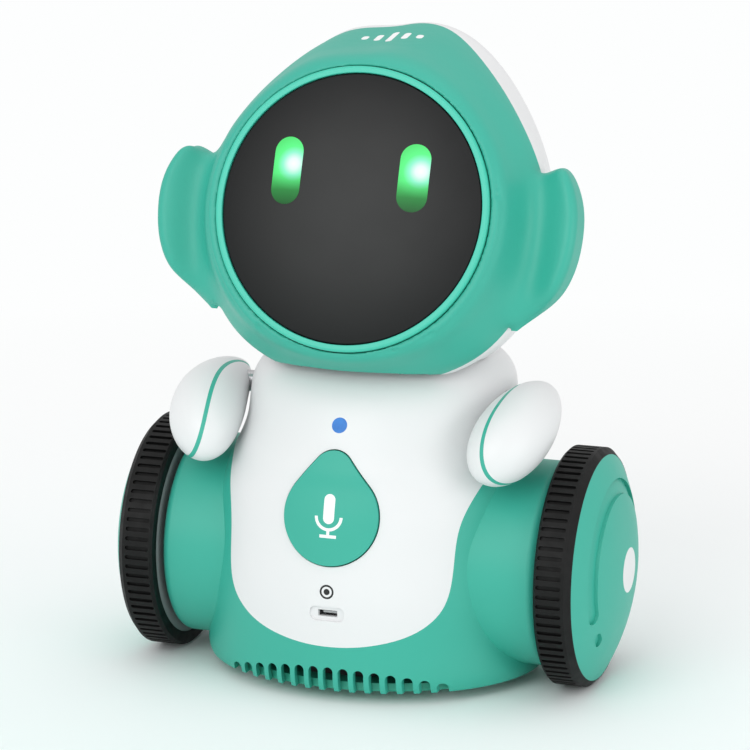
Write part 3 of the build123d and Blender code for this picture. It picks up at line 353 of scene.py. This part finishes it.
def relaxed(mesh, weights, rounds):
    """Smooths a mesh in place, each vertex by its weight."""
    places = np.empty(len(mesh.vertices) * 3)
    mesh.vertices.foreach_get("co", places)
    places = places.reshape(-1, 3)
    edges = np.empty(len(mesh.edges) * 2, dtype=np.int64)
    mesh.edges.foreach_get("vertices", edges)
    first, second = edges.reshape(-1, 2).T
    count = np.bincount(first, minlength=len(places)) + np.bincount(second, minlength=len(places))
    for _ in range(rounds):
        total = np.empty_like(places)
        for axis in range(3):
            total[:, axis] = np.bincount(first, places[second, axis], len(places))
            total[:, axis] += np.bincount(second, places[first, axis], len(places))
        places += weights[:, None] * (total / count[:, None] - places)
    mesh.vertices.foreach_set("co", places.ravel())
    mesh.update()


# The face: its ring and its lens are turned about the axis of the ring.
ROUND = 256  # steps round a turned piece
ring_points = np.array([v.co for v in nodes["face_trim_ring"].data.vertices])
face_centre = Vector(ring_points.mean(axis=0))
_, _, ring_axes = np.linalg.svd(ring_points - ring_points.mean(axis=0), full_matrices=False)
face_out = Vector(ring_axes[2]) * (-1 if ring_axes[2][1] > 0 else 1)
face_right = Vector((1, 0, 0))
face_up = face_right.cross(face_out) * -1


def along(name, way):
    """The least and the greatest reach of a CAD node along a direction, from the middle of the face ring."""
    reaches = [(v.co - face_centre).dot(way) for v in nodes[name].data.vertices]
    return min(reaches), max(reaches)


def face_point(radius, angle, forward):
    """A point at a radius and an angle round the axis of the face, and forward along it."""
    spoke = face_right * math.cos(angle) + face_up * math.sin(angle)
    return face_centre + spoke * radius + face_out * forward


def turned(name, profile, closed):
    """A piece turned about the axis of the face, from its (radius, forward) profile."""
    angles = [2 * math.pi * i / ROUND for i in range(ROUND)]
    rows = [[face_point(radius, angle, forward) for angle in angles] for radius, forward in profile]
    return smooth(grid(name, rows, closed))


def arc(centre, radius, start, end, steps):
    """Points of a profile's rounded corner, angles in degrees."""
    turns = [math.radians(start + (end - start) * i / steps) for i in range(steps + 1)]
    return [(centre[0] + radius * math.cos(t), centre[1] + radius * math.sin(t)) for t in turns]


ring_back, ring_front = along("face_trim_ring", face_out)
ring_outer = along("face_trim_ring", face_right)[1]
ring_inner = min((v.co - face_centre).cross(face_out).length for v in nodes["face_trim_ring"].data.vertices)
ring_round = 0.75 * MM
ring_lip = 0.3 * MM
ring_profile = [
    (ring_inner, ring_back),
    *arc((ring_inner + ring_lip, ring_front - ring_lip), ring_lip, 180, 90, 6),
    *arc((ring_outer - ring_round, ring_front - ring_round), ring_round, 90, 0, 8),
    (ring_outer, ring_back),
]
ring = piece("face_ring", turned("face_ring", ring_profile, True), teal_painted_highlight, "head")
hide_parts("face_trim_ring")

def smoked_lens(radius):
    """The face: smoked gloss plastic, nearly black, with a painted reflection that makes it paler in its
    middle than at its rim.
    """
    m = Material("lens_smoked")
    from_face = m.add("ShaderNodeVectorMath", operation="DISTANCE")
    m.link(m.place, from_face.inputs[0])
    from_face.inputs[1].default_value = face_centre
    share = m.range(from_face.outputs["Value"], 0.0, 1.0, 0.0, radius)
    haze = m.maths("MULTIPLY", m.noise(9, detail=2), 0.06)
    # Painted reflection: the lens is paler at its middle and darkest at its rim; the haze noise adds only
    # random tone.
    shade = m.ramp(
        m.maths("ADD", share, haze),
        (0.05, srgb(50, 50, 50)),
        (0.55, srgb(41, 41, 41)),
        (0.98, srgb(17, 17, 18)),
    )
    m.link(shade, m.shader.inputs["Base Color"])
    m.link(m.range(m.noise(80, detail=4), 0.46, 0.52), m.shader.inputs["Roughness"])
    m.link(m.bump(m.noise(2600, detail=2), 0.000004, 0.3), m.shader.inputs["Normal"])
    m.set(Specular_IOR_Level=0.28)
    return m.material


lens_back, lens_front = along("face_lens", face_out)
lens_radius = along("face_lens", face_right)[1]
lens_sunk = 0.6 * MM
lens_rim = ring_front - lens_sunk
sagitta = lens_front - lens_rim
dome_radius = (lens_radius**2 + sagitta**2) / (2 * sagitta)
lens_edge = 0.35 * MM
lens_steps = 40
lens_material = smoked_lens(lens_radius)
dress(lens_material, "face_lens")
lens_flat = lens_radius - lens_edge
spread = [lens_flat * math.sin(math.pi / 2 * i / lens_steps) for i in range(lens_steps + 1)]
lens_profile = [
    *((r, lens_front - dome_radius + math.sqrt(dome_radius**2 - r * r)) for r in spread),
    (lens_radius, lens_rim - lens_edge),
    (lens_radius, lens_back),
    (0.0, lens_back),
]
lens = piece("face_dome", turned("face_dome", lens_profile, False), lens_material, "head")
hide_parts("face_lens")


def eye_glow(name, low, high):
    """A lit light guide: white where its lamp sits, high on one side, green round it and dim at the foot."""
    m = Material(name)
    from_face = m.add("ShaderNodeVectorMath", operation="SUBTRACT")
    m.link(m.place, from_face.inputs[0])
    from_face.inputs[1].default_value = face_centre

    def share(way, least, greatest, place):
        """How far across the eye a point is, -1 to 1, counted from a place of its own."""
        dot = m.add("ShaderNodeVectorMath", operation="DOT_PRODUCT")
        m.link(from_face.outputs["Vector"], dot.inputs[0])
        dot.inputs[1].default_value = way
        return m.range(dot.outputs["Value"], -1 - place, 1 - place, least, greatest, clamp=False)

    across = share(face_right, low[0], high[0], 0.42)
    up = share(face_up, low[1], high[1], 0.2)
    slim = (high[0] - low[0]) / (high[1] - low[1])
    narrow = m.maths("MULTIPLY", across, slim)
    square = m.maths("ADD", m.maths("MULTIPLY", narrow, narrow), m.maths("MULTIPLY", up, up))
    away = m.maths("SQRT", square)
    glow = m.ramp(
        away,
        (0.0, srgb(255, 255, 255)),
        (0.16, srgb(236, 255, 252)),
        (0.34, srgb(150, 255, 214)),
        (0.52, srgb(96, 252, 140)),
        (0.80, srgb(84, 232, 118)),
    )
    foot = m.ramp(
        m.range(up, 0.0, 1.0, -1.2, 0.0),
        (0.0, (0.09, 0.12, 0.10, 1)),
        (0.35, (0.24, 0.30, 0.26, 1)),
        (0.75, (0.9, 0.94, 0.92, 1)),
        (1.0, (1, 1, 1, 1)),
    )
    dimmed = m.add("ShaderNodeMix", data_type="RGBA", blend_type="MULTIPLY")
    dimmed.inputs["Factor"].default_value = 1.0
    colours = [socket for socket in dimmed.inputs if socket.type == "RGBA"]
    m.link(glow, colours[0])
    m.link(foot, colours[1])
    result = next(socket for socket in dimmed.outputs if socket.type == "RGBA")
    m.link(result, m.shader.inputs["Emission Color"])
    m.link(m.range(m.noise(600), 0.3, 0.4), m.shader.inputs["Roughness"])
    m.set(Base_Color=srgb(14, 34, 20), Emission_Strength=1.0, Specular_IOR_Level=0.2)
    return m.material


for side in ("left", "right"):
    wide, tall = along("eye_" + side, face_right), along("eye_" + side, face_up)
    dress(eye_glow("eye_glow_" + side, (wide[0], tall[0]), (wide[1], tall[1])), "eye_" + side)


# The hood: the CAD shell made into one even mesh, in which the ears run into it in soft valleys.
VOXEL = 0.5 * MM
ring_gap = 0.2 * MM
lip_width = 4.3 * MM
lip_depth = 2.0 * MM
lip_taper = 0.85  # how much of the depth is gone at the backing's outer end
lip_steps = 6
lip_sunk = 1.0 * MM  # where a ray finds no wall
clear_of_face = 30 * MM
crown_front = 9 * MM  # from the ring back to where the crown's backing starts
crown_foot = 24 * MM  # from the middle of the ring up to its foot
crown_copies = 3
crown_step = Vector((0, 0.12 * MM, -0.33 * MM))
ear_root = 44 * MM  # from the middle plane
ear_tip = 58 * MM
ear_depth = 30 * MM
valley_turn = 0.35  # radians
valley_reach = 11 * MM
valley_pull = 0.62
valley_rounds = 300
rim_turn = 0.22  # radians
rim_margin = 0.3 * MM
rim_snap = 0.48 * MM
skin_pull = 0.4
skin_rounds = 2
face_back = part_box("face_trim_ring")[1][1]
ear_tips = [v.co for v in nodes["head_front_shell"].data.vertices if abs(v.co.x) > ear_tip]
seam_level = min((point - face_centre).dot(face_out) for point in ear_tips)


def in_ear_valley(turn, middle):
    return turn < -valley_turn and abs(middle.x) > ear_root and middle.y < face_back + ear_depth


def on_hood_rim(turn, middle):
    return turn > rim_turn and (middle - face_centre).dot(face_out) < seam_level + rim_margin


def lip_backing():
    """Thickens the hood's edge round the face ring, where its wall runs out to a knife edge."""
    surface = surface_of("head_front_shell")
    start = ring_outer + ring_gap
    angles = [2 * math.pi * i / ROUND for i in range(ROUND)]
    front, back = [], []
    for step in range(lip_steps + 1):
        radius = start + lip_width * step / lip_steps
        row = []
        for angle in angles:
            far = face_point(radius, angle, clear_of_face)
            hit = surface.ray_cast(far, -face_out)[0]
            row.append(hit or face_point(radius, angle, ring_front - lip_sunk))
        front.append(row)
        deep = lip_depth * (1 - lip_taper * (step / lip_steps) ** 2)
        back.append([point - face_out * deep for point in row])
    return grid("lip_backing", front + back[::-1])


def crown_backing():
    """Copies of the hood's crown, each set a little deeper, under the knife edge of its rear rim."""
    bm = bmesh.new()
    bm.from_mesh(nodes["head_front_shell"].data)
    bmesh.ops.remove_doubles(bm, verts=bm.verts, dist=1e-6)
    kept_sides = (
        (face_centre - face_out * crown_front, -face_out),
        (Vector((0, 0, face_centre.z + crown_foot)), Vector((0, 0, 1))),
    )
    for place, way in kept_sides:
        everything = bm.verts[:] + bm.edges[:] + bm.faces[:]
        cut = bmesh.ops.bisect_plane(bm, geom=everything, plane_co=place, plane_no=way, clear_inner=True)
        rim_edges = [item for item in cut["geom_cut"] if isinstance(item, bmesh.types.BMEdge)]
        bmesh.ops.triangle_fill(bm, edges=rim_edges)
    bmesh.ops.recalc_face_normals(bm, faces=bm.faces)
    copies = []
    for _ in range(crown_copies):
        bmesh.ops.translate(bm, verts=bm.verts, vec=crown_step)
        mesh = bpy.data.meshes.new("crown_backing")
        bm.to_mesh(mesh)
        copies.append(mesh)
    bm.free()
    return copies


hood_mesh = remeshed("head_front_shell", VOXEL, lip_backing(), *crown_backing())
valley = edge_tree("head_front_shell", in_ear_valley, VOXEL)
rim = edge_tree("head_front_shell", on_hood_rim, VOXEL / 10)
pull = np.zeros(len(hood_mesh.vertices))
skin = np.full(len(hood_mesh.vertices), skin_pull)
for vertex in hood_mesh.vertices:
    away = min(1.0, valley.find(vertex.co)[2] / valley_reach)
    pull[vertex.index] = valley_pull * (1 - away * away * (3 - 2 * away))
    corner, _, gap = rim.find(vertex.co)
    if gap < rim_snap:
        vertex.co = corner
        pull[vertex.index] = 0.0
        skin[vertex.index] = 0.0
relaxed(hood_mesh, pull, valley_rounds)
relaxed(hood_mesh, skin, skin_rounds)
hood = piece("hood", smooth(hood_mesh, 50), teal, "head")
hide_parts("head_front_shell")


# ---------------------------------------------------------------- printed marks

def printed_ring(name, on, height, inner, outer, steps=96, lift=0.03 * MM):
    """A flat printed ring, or a dot where inner is 0, laid on the middle of the front of a CAD node."""
    surface = surface_of(on)
    rows = []
    radii = [inner + (outer - inner) * i / 3 for i in range(4)]
    for radius in radii:
        row = []
        for step in range(steps):
            angle = 2 * math.pi * step / steps
            start = Vector((radius * math.cos(angle), -0.2, height + radius * math.sin(angle)))
            hit = surface.ray_cast(start, Vector((0, 1, 0)))[0]
            row.append(hit + Vector((0, -lift, 0)))
        rows.append(row)
    return piece(name, grid(name, rows, closed=False), black_print, "chassis")


mark_height = 33.6 * MM
mark_inner = 1.55 * MM
mark_outer = 2.1 * MM
mark_dot = 0.9 * MM
printed_ring("record_mark_ring", "chest_panel", mark_height, mark_inner, mark_outer)
printed_ring("record_mark_dot", "chest_panel", mark_height, 0.0, mark_dot)


# ---------------------------------------------------------------- stage

def floor_material():
    """A pale floor that keeps the shadow near the object and runs out into the white backdrop."""
    m = Material("floor_pale")
    distance = m.add("ShaderNodeVectorMath", operation="LENGTH")
    m.link(m.place, distance.inputs[0])
    split = m.add("ShaderNodeSeparateXYZ")
    m.link(m.place, split.inputs[0])
    tint = m.ramp(
        m.range(split.outputs["Y"], 0.0, 1.0, -0.32, 0.3),
        (0.0, srgb(222, 242, 238)),
        (0.5, srgb(247, 252, 252)),
        (1.0, srgb(253, 254, 254)),
    )
    m.link(tint, m.shader.inputs["Base Color"])
    m.set(Roughness=0.7, Specular_IOR_Level=0.1)
    glow = m.add("ShaderNodeEmission")
    glow.inputs["Color"].default_value = srgb(253, 254, 254)
    fade = m.range(distance.outputs["Value"], 0.0, 1.0, 0.16, 0.5)
    camera = m.add("ShaderNodeLightPath").outputs["Is Camera Ray"]
    mix = m.add("ShaderNodeMixShader")
    m.link(m.maths("MULTIPLY", fade, camera), mix.inputs[0])
    m.link(m.shader.outputs["BSDF"], mix.inputs[1])
    m.link(glow.outputs["Emission"], mix.inputs[2])
    m.link(mix.outputs[0], m.output.inputs["Surface"])
    return m.material


floor_radius = 6.0
bm = bmesh.new()
bmesh.ops.create_circle(bm, cap_ends=True, segments=96, radius=floor_radius)
floor_mesh = bpy.data.meshes.new("floor")
bm.to_mesh(floor_mesh)
bm.free()
floor = bpy.data.objects.new("floor", floor_mesh)
floor.data.materials.append(floor_material())
bpy.context.scene.collection.objects.link(floor)

scene = bpy.context.scene
world = bpy.data.worlds.new("studio")
scene.world = world
world.use_nodes = True
tree = world.node_tree
tree.nodes.clear()
out = tree.nodes.new("ShaderNodeOutputWorld")
room = tree.nodes.new("ShaderNodeBackground")
room.inputs["Color"].default_value = (1, 1, 1, 1)
room.inputs["Strength"].default_value = 0.8
backdrop = tree.nodes.new("ShaderNodeBackground")
backdrop.inputs["Color"].default_value = srgb(252, 254, 254)
backdrop.inputs["Strength"].default_value = 1.0
path = tree.nodes.new("ShaderNodeLightPath")
mix = tree.nodes.new("ShaderNodeMixShader")
tree.links.new(path.outputs["Is Camera Ray"], mix.inputs[0])
tree.links.new(room.outputs[0], mix.inputs[1])
tree.links.new(backdrop.outputs[0], mix.inputs[2])
tree.links.new(mix.outputs[0], out.inputs["Surface"])


def softbox(name, place, target, width, height, power):
    """A soft rectangular lamp that faces its target."""
    light = bpy.data.lights.new(name, "AREA")
    light.shape = "RECTANGLE"
    light.size = width
    light.size_y = height
    light.energy = power
    obj = bpy.data.objects.new(name, light)
    obj.location = place
    obj.rotation_mode = "QUATERNION"
    obj.rotation_quaternion = (Vector(target) - Vector(place)).to_track_quat("-Z", "Y")
    scene.collection.objects.link(obj)


softbox("key", (-0.2, -0.95, 0.6), (0, 0, 0.08), 0.8, 0.8, 3.6)
softbox("top", (0.0, 0.05, 1.1), (0, 0, 0.1), 0.9, 0.9, 1.3)
softbox("side", (0.95, -0.4, 0.25), (0, 0, 0.08), 0.6, 0.5, 1.7)

camera_place = Vector((0.3562, -1.0404, 0.3526))
camera_target = Vector((-0.00082, 0.0, 0.08708))
camera_data = bpy.data.cameras.new("camera")
camera_data.sensor_width = 36.0
camera_data.lens = 185.1
camera = bpy.data.objects.new("camera", camera_data)
camera.location = camera_place
camera.rotation_mode = "QUATERNION"
camera.rotation_quaternion = (camera_target - camera_place).to_track_quat("-Z", "Y")
scene.collection.objects.link(camera)
scene.camera = camera
scene.view_settings.view_transform = "Standard"
